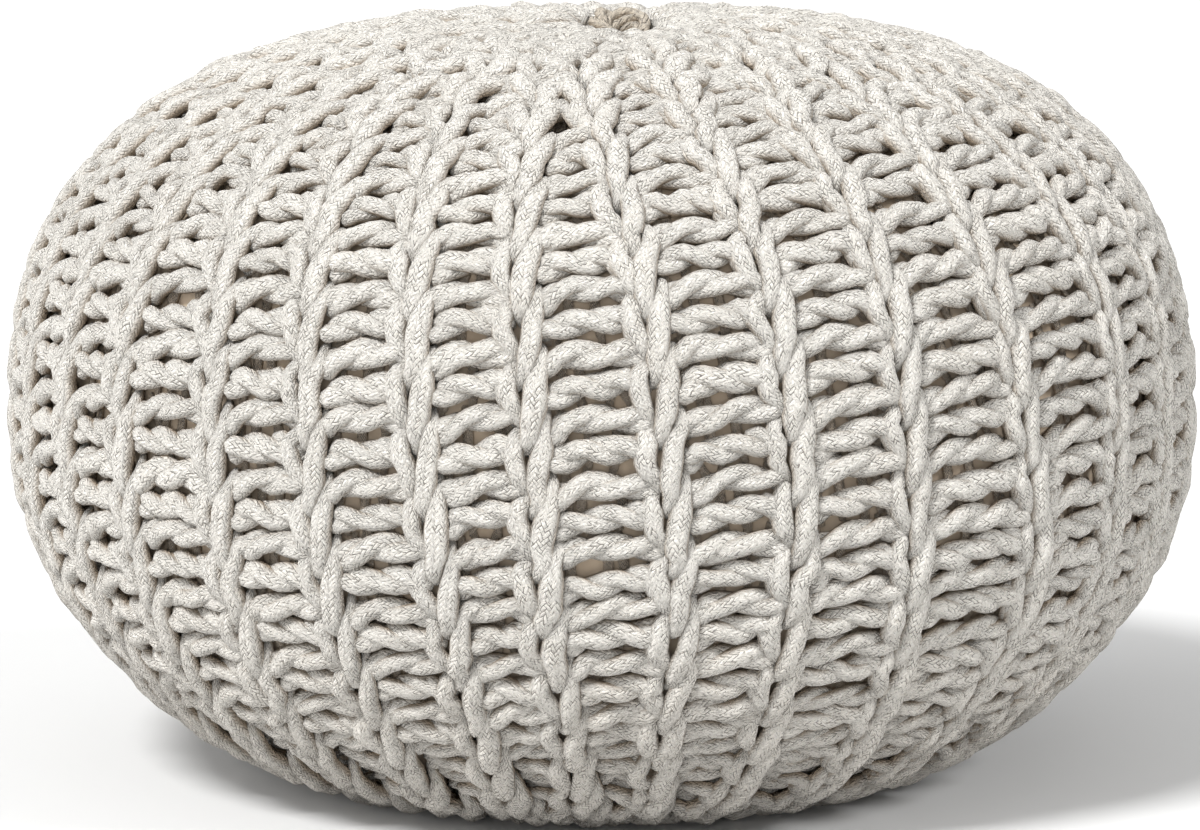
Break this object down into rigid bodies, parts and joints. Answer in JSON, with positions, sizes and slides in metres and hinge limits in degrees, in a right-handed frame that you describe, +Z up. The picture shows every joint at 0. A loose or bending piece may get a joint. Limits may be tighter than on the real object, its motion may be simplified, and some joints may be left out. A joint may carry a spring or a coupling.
{
  "type": "knitted pouf",
  "caption": "Round stuffed floor pouf in a chunky ribbed cover, hand knitted from thick natural cotton cord and gathered at the top.",
  "frame": {"origin": "centre of the footprint, on the surface that the pouf stands on", "axes": "+Z up through the crown, -Y towards the front, +X to the right as seen from the front"},
  "size_m": [0.4996, 0.4994, 0.3167],
  "materials": {
    "knit_cord": "natural undyed cotton cord, soft and matt, with fine dark flecks",
    "casing_cloth": "plain matt cotton cloth",
    "gather_cord": "twisted cotton cord, matt"
  },
  "bodies": {
    "root": {"knit_cover": "knit_cord", "inner_casing": "casing_cloth", "closing_cord": "gather_cord"}
  },
  "joints": []
}
